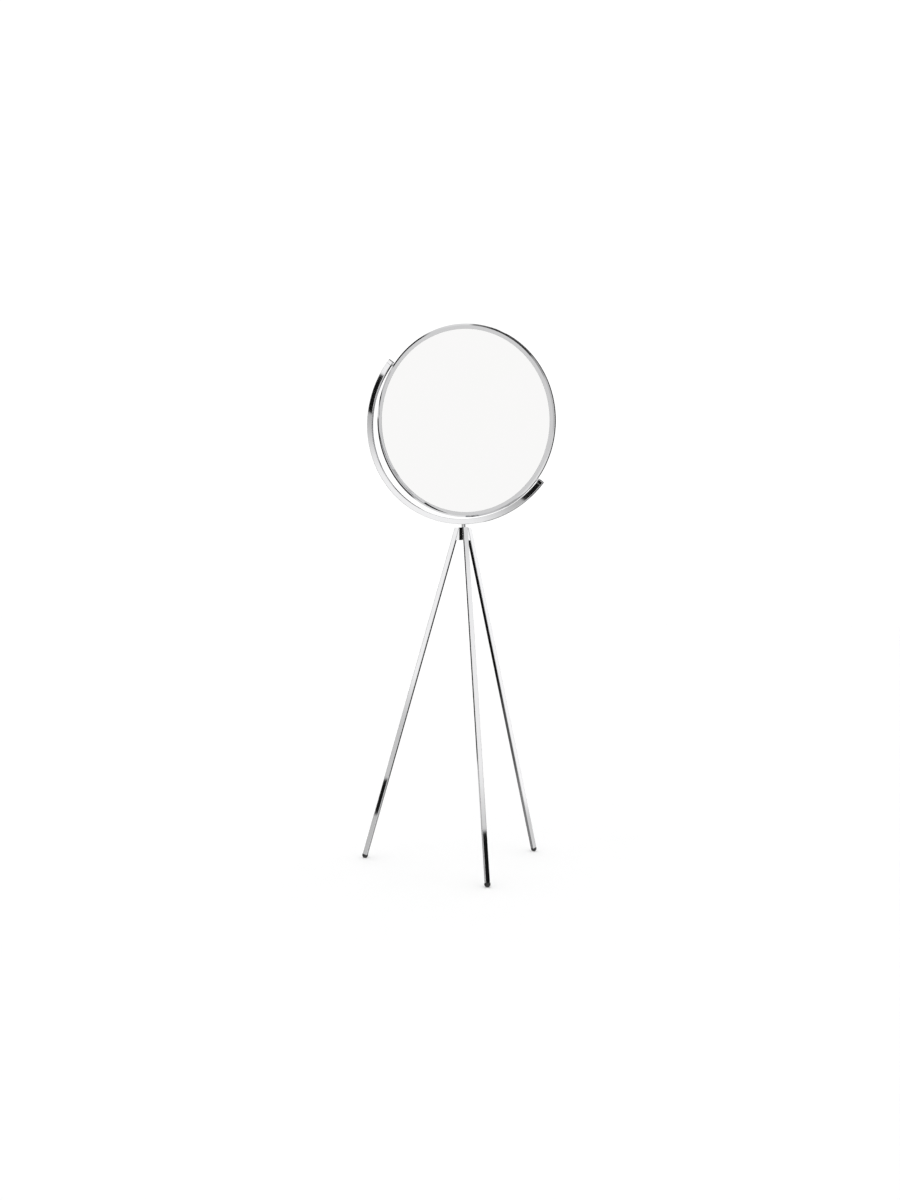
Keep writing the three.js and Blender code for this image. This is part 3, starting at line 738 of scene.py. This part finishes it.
# ---------------------------------------------------------------------------- mirror
@dataclass
class MirrorHead:
    """The rim, the glass in it, the cover behind it and the two pivot pins."""

    rim_radius: float = 346.65 * MM
    face_radius: float = 328 * MM
    half_depth: float = 7 * MM
    rim_wall: float = 3 * MM
    bevel_width: float = 6 * MM
    bevel_slope: float = math.radians(20)
    ledge_radius: float = 316 * MM
    ledge_half: float = 1 * MM
    glass_front: float = -6.3 * MM
    glass_thick: float = 4 * MM
    cover_inner: float = 5 * MM
    cover_thick: float = 1.4 * MM
    panel_radius: float = 300 * MM
    flange_radius: float = 318 * MM
    panel_rise: float = 3.5 * MM
    screw_circle: float = 337.5 * MM
    screw_count: int = 6
    screw_radius: float = 1.5 * MM
    pin_radius: float = 4 * MM
    pin_inner: float = 332 * MM
    collar_radius: float = 6 * MM
    clip_offset: float = 0.8 * MM
    clip_thick: float = 1 * MM
    yoke_inside: float = YOKE_INSIDE
    yoke_outside: float = YOKE_OUTSIDE
    rest_turn: float = math.radians(9.2)
    sides: int = 360

    def __post_init__(self) -> None:
        """Keeps the mirror's own frame and the same with the disc's axis third."""
        self.place = pivot_place().turned(0, self.rest_turn)
        self.disc = self.place.along(1)

    def build(self) -> None:
        """Builds and dresses the whole mirror."""
        self.build_rim()
        self.build_glass()
        self.build_cover()
        for number in range(self.screw_count):
            self.build_screw(number)
        for end in End:
            self.build_pin(end)
            dress_nodes(ZINC_STEEL, f"pin_clip_{end.label}")
        dress_nodes(FOAM_RUBBER, "glass_gasket")
        dress_nodes(FIBREBOARD, "backing_board")

    def build_rim(self) -> None:
        """The rim: a channel section turned about the disc's axis, with a wide bevel round its front."""
        front, back = -self.half_depth, self.half_depth
        lip, stem = self.face_radius + GAP, self.face_radius + 3.5 * MM
        outer, inside = self.rim_radius, self.rim_radius - self.rim_wall
        corners = np.array(
            [
                [lip, front],
                [outer - self.bevel_width, front],
                [outer, front + self.bevel_width * math.tan(self.bevel_slope)],
                [outer, back - 0.6 * MM],
                [outer - 0.6 * MM, back],
                [inside, back],
                [inside, front + 3 * MM],
                [stem, front + 3 * MM],
                [stem, self.ledge_half],
                [self.ledge_radius, self.ledge_half],
                [self.ledge_radius, -self.ledge_half],
                [lip, -self.ledge_half],
            ]
        )
        profile = filleted(corners, 0.2 * MM, 4, 0.05 * MM)
        points = self.disc.carry(revolved(profile, self.sides))
        rim = Piece("mirror_rim", points, Body.MIRROR, "chrome", ("rim_ring",), wrap_rows=True)
        rim.make(POLISHED_CHROME)

    def build_glass(self) -> None:
        """The silvered glass, with its sharp front edge taken off, a ground edge and a painted back."""
        radius, front = self.face_radius + 0.2 * MM, self.glass_front
        back = front + self.glass_thick
        profile = np.array(
            [
                [0.0, front],
                [radius - 0.3 * MM, front],
                [radius, front + 0.3 * MM],
                [radius, back],
                [0.0, back],
            ]
        )
        points = self.disc.carry(revolved(profile, self.sides))
        piece = Piece("mirror_disc", points, Body.MIRROR, "mirror", ("mirror_glass",), sharp_degrees=15.0)
        made = piece.make(SILVERED_GLASS, GROUND_GLASS, BACKING_PAINT)
        normals = np.empty(len(made.data.polygons) * 3, np.float32)
        made.data.polygons.foreach_get("normal", normals)
        facing = normals.reshape(-1, 3) @ self.place.axes[1]
        slots = np.where(facing < -0.5, 0, np.where(facing > 0.5, 2, 1))
        made.data.polygons.foreach_set("material_index", slots.astype(np.int32))

    def build_cover(self) -> None:
        """The back cover: a pressed sheet with a raised panel, turned about the disc's axis."""
        inner, outer = self.cover_inner, self.cover_inner + self.cover_thick
        cover_radius = self.rim_radius - self.rim_wall - 0.5 * MM
        corners = np.array(
            [
                [0.0, inner + self.panel_rise],
                [self.panel_radius - 0.6 * MM, inner + self.panel_rise],
                [self.flange_radius - 0.6 * MM, inner],
                [cover_radius, inner],
                [cover_radius, outer],
                [self.flange_radius, outer],
                [self.panel_radius, outer + self.panel_rise],
                [0.0, outer + self.panel_rise],
            ]
        )
        points = self.disc.carry(revolved(filleted_open(corners, 0.4 * MM), self.sides))
        Piece("mirror_back", points, Body.MIRROR, "cover", ("back_cover",)).make(ANODISED_SHEET)

    def build_screw(self, number: int) -> None:
        """A pan-head cover screw with a cross recess.

        The head's top is at 1.5 mm less 0.5 mm times the square of the share of the radius, and the
        recess sinks it by up to 0.9 mm where a point is near either arm of the cross.

        Args:
            number: which screw, counted round the disc from the pivot axis.
        """
        seat, head = self.cover_inner + self.cover_thick + GAP, 3.1 * MM
        share = np.linspace(0.0, 1.0, 22)[:, None]
        angle = np.linspace(0.0, 2 * math.pi, 48, endpoint=False)[None, :]
        x, y = share * head * np.cos(angle), share * head * np.sin(angle)
        arm = np.minimum(np.abs(x), np.abs(y)) / (0.45 * MM)
        reach = np.clip((1.9 * MM - np.hypot(x, y)) / (0.5 * MM), 0.0, 1.0)
        recess = 0.9 * MM * np.clip(1.6 - arm, 0.0, 1.0) * reach
        top = seat + 1.5 * MM - 0.5 * MM * share**2 - recess
        crown = np.stack([x, y, top], axis=-1)
        shank = [(head, seat), (self.screw_radius, seat), (self.screw_radius, -1 * MM), (0.0, -1 * MM)]
        lower = revolved(np.array(shank), 48)
        local = np.concatenate([crown, lower]) + [self.screw_circle, 0.0, 0.0]
        turn = (number + 0.5) * 2 * math.pi / self.screw_count
        points = self.place.turned(1, turn).along(1).carry(local[..., [1, 0, 2]])
        stands_for = (f"cover_screw_{number + 1}",)
        Piece(f"back_screw_{number + 1}", points, Body.MIRROR, "steel", stands_for).make(ZINC_STEEL)

    def build_pin(self, end: End) -> None:
        """A pivot pin: threaded end in the rim, collar across the gap, journal in the end block."""
        clip = self.yoke_outside - CAP_DEPTH + self.clip_offset
        clip_end = clip + self.clip_thick + GAP
        groove = self.pin_radius - 1 * MM
        tip = self.pin_radius - 0.4 * MM
        tip_end = self.yoke_outside - 3 * MM
        corners = np.array(
            [
                [0.0, self.pin_inner],
                [self.pin_radius, self.pin_inner],
                [self.pin_radius, self.rim_radius + GAP],
                [self.collar_radius, self.rim_radius + GAP],
                [self.collar_radius, self.yoke_inside - GAP],
                [self.pin_radius, self.yoke_inside - GAP],
                [self.pin_radius, clip - GAP],
                [groove, clip - GAP],
                [groove, clip_end],
                [tip, clip_end],
                [tip, tip_end],
                [0.0, tip_end],
            ]
        )
        axis = self.place if end is End.LOWER else self.place.turned(1, math.pi)
        points = axis.along(0).carry(revolved(filleted_open(corners, 0.15 * MM, 4), 64))
        name = f"mirror_pin_{end.label}"
        Piece(name, points, Body.MIRROR, "chrome", (f"pivot_pin_{end.label}",)).make(POLISHED_CHROME)


def dress_nodes(finish: Finish, *nodes: str) -> None:
    """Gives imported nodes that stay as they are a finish.

    Args:
        finish: the finish.
        nodes: names of the nodes.
    """
    for name in nodes:
        mesh = frame["nodes"][name].data
        mesh.materials.clear()
        mesh.materials.append(finish.material())
        log.info("%s: packed mesh in %s", name, finish.name)


# ---------------------------------------------------------------------------- studio
@dataclass(frozen=True)
class Panel:
    """A part of the studio's surround as polished metal sees it, by direction.

    Directions are in degrees: azimuth from the camera's side towards the right, and elevation above
    level. The elevations move up by the slant for each degree of azimuth from the panel's middle.
    """

    azimuth: tuple[float, float]
    elevation: tuple[float, float]
    level: float
    edges: tuple[float, float] = (1.0, 1.0)
    slant: float = 0.0


@dataclass
class Studio:
    """A white studio: soft even light, a pale floor, a camera at standing distance."""

    yoke_yaw: float = math.radians(17.42)
    camera_side: float = -47.9 * MM
    camera_distance: float = 4746.7 * MM
    camera_height: float = 980.7 * MM
    camera_pitch: float = math.radians(-0.28)
    camera_roll: float = math.radians(0.28)
    lens_mm: float = 39.35
    floor_half: float = 40.0
    surround: float = 1.0
    backdrop: float = 1.08
    panels: tuple[Panel, ...] = (
        # The lit ceiling, the floor and the back wall.
        Panel((-200, 200), (34, 100), 1.25, (1, 8)),
        Panel((-200, 200), (-100, -24), 1.2, (1, 14)),
        Panel((-200, -158), (-90, 90), 1.4, (2, 2)),
        # A black screen on the left, a small lamp before it, and grey floor at its foot.
        Panel((-158, -64), (-30.5, 30), 0.01, (2, 3)),
        Panel((-91.5, -81.5), (0.5, 17.5), 1.1, (1.5, 1.5)),
        Panel((-158, -91), (-29.5, -26.5), 0.15, (1, 3)),
        Panel((-158, -91), (-60, -29.5), 0.33, (3, 3)),
        Panel((-158, -144), (-60, -7.3), 0.75, (2, 0.8)),
        Panel((-158, -144), (-13, -9.9), 0.5, (2, 0.8)),
        # A dark strip above the camera, with softer light under it and bright strips beside it.
        Panel((-44, -10), (18, 36), 0.06, (4, 6)),
        Panel((-11, 5), (-12, 14), 0.8, (4, 4)),
        Panel((-12, -3), (12, 22), 0.5, (3, 3)),
        Panel((7.5, 16.5), (-11, 24), 1.6, (1, 2)),
        Panel((-7, 8), (25, 33), 1.6, (2, 2)),
        Panel((-21.5, -7), (30.7, 36), 1.6, (1, 1)),
        # Black screens overhead and on the right, with a lit band over the second.
        Panel((40, 80), (55, 90), 0.02, (5, 5)),
        Panel((17, 74), (-9, 21.25), 0.012, (3, 0.3)),
        Panel((12, 60), (21.25, 23), 1.0, (3, 0.3)),
        Panel((12, 60), (22.6, 33), 1.38, (3, 3)),
        # A white wall on the far right.
        Panel((74, 114), (-9.2, 60), 1.52, (2, 1.2)),
        # A black screen behind, on the right, with grey floor at its foot.
        Panel((114, 172), (-90, 45), 0.01, (2, 3)),
        Panel((165, 177), (8, 20), 0.01, (2, 3)),
        Panel((160, 176), (-25, -8), 0.35, (2, 3)),
        Panel((146.5, 158), (-40, -17.5), 0.4, (0.5, 2)),
        # A tall lamp on the left of the camera, crossed by one level and one slanting black bar.
        Panel((-40.4, -26), (-4.8, 20), 1.43, (0.8, 3)),
        Panel((-40.4, -26), (-9.9, -4.8), 0.91, (0.8, 3)),
        Panel((-40.4, -26), (-9.6, -8.05), 0.012, (0.4, 0.2)),
        Panel((-40.4, -26), (-24, -9.6), 0.8, (0.4, 0.2)),
        Panel((-40.4, -28), (4.2, 14), 0.74, (0.5, 2.6), -0.554),
        Panel((-40.4, -28), (5.5, 7.43), 0.012, (0.5, 0.15), -0.554),
        Panel((-40.4, -28), (7.43, 20), 1.45, (0.5, 0.15), -0.554),
    )

    def build(self) -> None:
        """Builds the camera, the surround and the floor."""
        self.build_camera()
        self.build_surround()
        self.build_floor()
        bpy.context.scene.view_settings.view_transform = "Standard"

    def build_camera(self) -> None:
        """The camera: at standing distance, hip height, a little left of the stem, looking level."""
        yaw = self.yoke_yaw
        facing = Place(STEM.origin, np.eye(3)).turned(2, yaw)
        data = bpy.data.cameras.new("camera")
        data.lens = self.lens_mm
        data.sensor_width = 36.0
        data.clip_start, data.clip_end = 0.05, 100.0
        camera = bpy.data.objects.new("camera", data)
        camera.location = facing.carry(
            np.array([self.camera_side, -self.camera_distance, self.camera_height])
        )
        look = Place(np.zeros(3), np.eye(3)).turned(2, yaw).turned(0, math.pi / 2 + self.camera_pitch)
        turned = look.turned(2, self.camera_roll)
        camera.rotation_mode = "QUATERNION"
        matrix = [[float(turned.axes[c][r]) for c in range(3)] for r in range(3)]
        camera.rotation_quaternion = Matrix(matrix).to_quaternion()
        bpy.context.scene.collection.objects.link(camera)
        bpy.context.scene.camera = camera

    def build_surround(self) -> None:
        """The surround: plain white to the eye, white with dark screens as polished metal sees it.

        Each panel is the product of two smooth steps in azimuth and two in elevation. It replaces the
        level of the panels before it where that product is 1, and leaves it where the product is 0.
        """
        world = bpy.data.worlds.new("studio")
        bpy.context.scene.world = world
        world.use_nodes = True
        tree = world.node_tree
        tree.nodes.clear()
        way = add_node(tree, "ShaderNodeTexCoord").outputs["Generated"]
        split = add_node(tree, "ShaderNodeSeparateXYZ", {0: way})

        def math_node(operation: str, *values: float | bpy.types.NodeSocket) -> bpy.types.NodeSocket:
            """The result of one arithmetic step."""
            inputs = dict(enumerate(values))
            return add_node(tree, "ShaderNodeMath", inputs, operation=operation).outputs[0]

        toward = math_node("MULTIPLY", split.outputs["Y"], -1.0)
        heading = math_node("ARCTAN2", split.outputs["X"], toward)
        turned = math_node("SUBTRACT", math_node("DEGREES", heading), math.degrees(self.yoke_yaw))
        azimuth = math_node("WRAP", turned, 180.0, -180.0)
        elevation = math_node("DEGREES", math_node("ARCSINE", split.outputs["Z"]))

        def ramp(value: bpy.types.NodeSocket, limit: float, edge: float) -> bpy.types.NodeSocket:
            """A smooth step from 0 to 1 about a limit, rising if the edge is positive."""
            inputs = {"Value": value, "From Min": limit - edge / 2, "From Max": limit + edge / 2}
            node = add_node(tree, "ShaderNodeMapRange", inputs, interpolation_type="SMOOTHSTEP")
            return node.outputs["Result"]

        level: float | bpy.types.NodeSocket = self.surround
        for panel in self.panels:
            middle = sum(panel.azimuth) / 2
            lift = math_node("MULTIPLY", math_node("SUBTRACT", azimuth, middle), -panel.slant)
            height = math_node("ADD", elevation, lift)
            inside = math_node(
                "MULTIPLY",
                math_node(
                    "SUBTRACT",
                    ramp(azimuth, panel.azimuth[0], panel.edges[0]),
                    ramp(azimuth, panel.azimuth[1], panel.edges[0]),
                ),
                math_node(
                    "SUBTRACT",
                    ramp(height, panel.elevation[0], panel.edges[1]),
                    ramp(height, panel.elevation[1], panel.edges[1]),
                ),
            )
            mixed = add_node(tree, "ShaderNodeMix", {0: inside, 2: level, 3: panel.level}, data_type="FLOAT")
            level = mixed.outputs[0]

        path = add_node(tree, "ShaderNodeLightPath")
        choice = {0: path.outputs["Is Glossy Ray"], 2: self.backdrop, 3: level}
        seen = add_node(tree, "ShaderNodeMix", choice)
        background = add_node(tree, "ShaderNodeBackground", {0: (1.0, 1.0, 1.0, 1.0), 1: seen.outputs[0]})
        add_node(tree, "ShaderNodeOutputWorld", {"Surface": background.outputs[0]})

    def build_floor(self) -> None:
        """A pale floor: matt white paint, wide enough to fill the view."""
        half = self.floor_half
        corners = np.array([[-half, -half, 0], [half, -half, 0], [half, half, 0], [-half, half, 0]])
        mesh = bpy.data.meshes.new("floor")
        mesh.from_pydata(corners, [], [(0, 1, 2, 3)])
        mesh.materials.append(FLOOR_PAINT.material())
        floor = bpy.data.objects.new("floor", mesh)
        floor.visible_glossy = False
        bpy.context.scene.collection.objects.link(floor)


def main() -> None:
    """Builds the studio and the object's three bodies in order."""
    Studio().build()
    Tripod().build()
    Yoke().build()
    MirrorHead().build()


if __name__ == "__main__":
    main()
